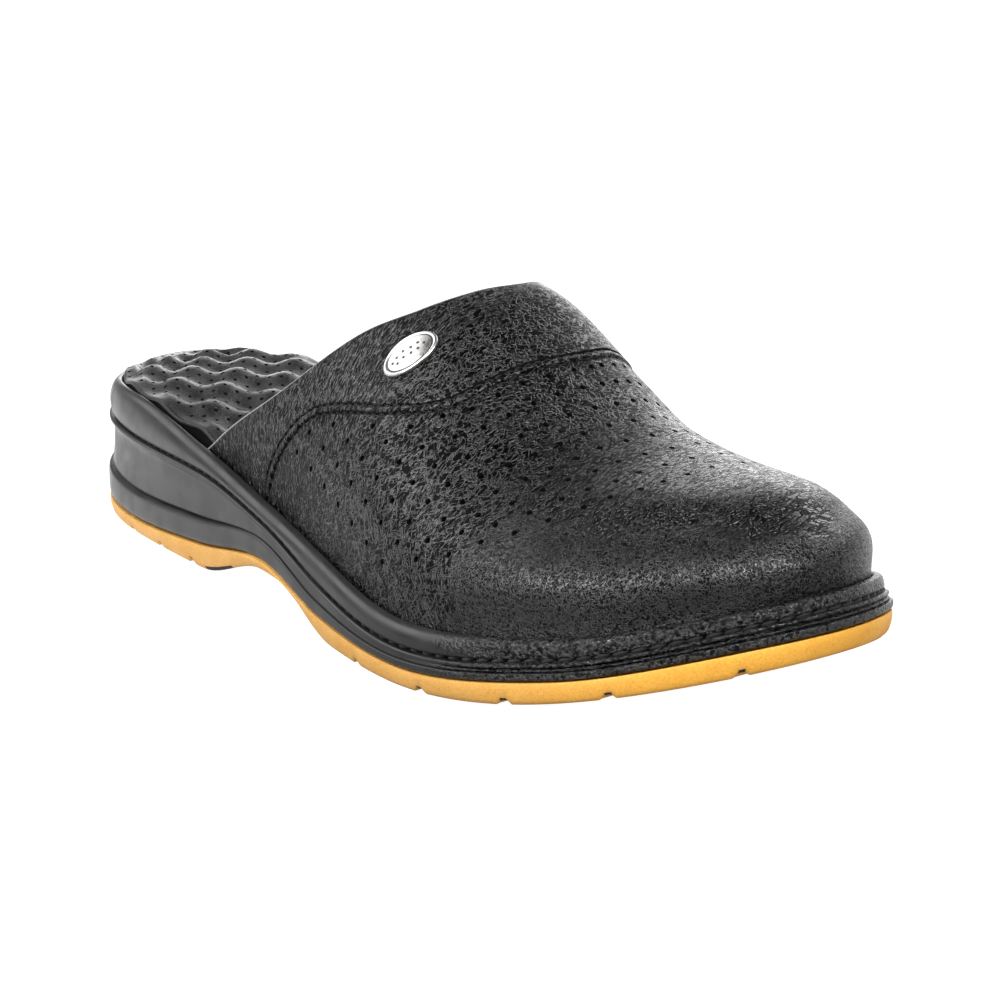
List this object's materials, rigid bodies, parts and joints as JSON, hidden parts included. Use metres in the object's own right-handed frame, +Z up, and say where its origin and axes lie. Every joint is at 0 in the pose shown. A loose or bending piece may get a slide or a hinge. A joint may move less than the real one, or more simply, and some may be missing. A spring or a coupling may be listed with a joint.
{
  "type": "orthopedic clog",
  "caption": "Backless leather clog for the right foot: hollow perforated upper on a moulded wedge midsole with rand, rubber outsole, bumped footbed and a plain oval metal badge.",
  "frame": {"origin": "middle of the sole's outline, on the plane that the shoe stands on", "axes": "+X from heel to toe, +Y towards the inner side of the right foot, +Z up"},
  "size_m": [0.285, 0.1141, 0.0859],
  "materials": {
    "outsole": "honey-amber rubber, satin",
    "midsole": "black moulded polyurethane, satin",
    "insole": "black perforated lining leather, dull",
    "upper": "black pebbled leather, soft sheen",
    "badge": "polished metal"
  },
  "bodies": {
    "root": {"outsole": "outsole", "midsole": "midsole", "insole": "insole", "upper": "upper", "badge": "badge"}
  },
  "joints": []
}
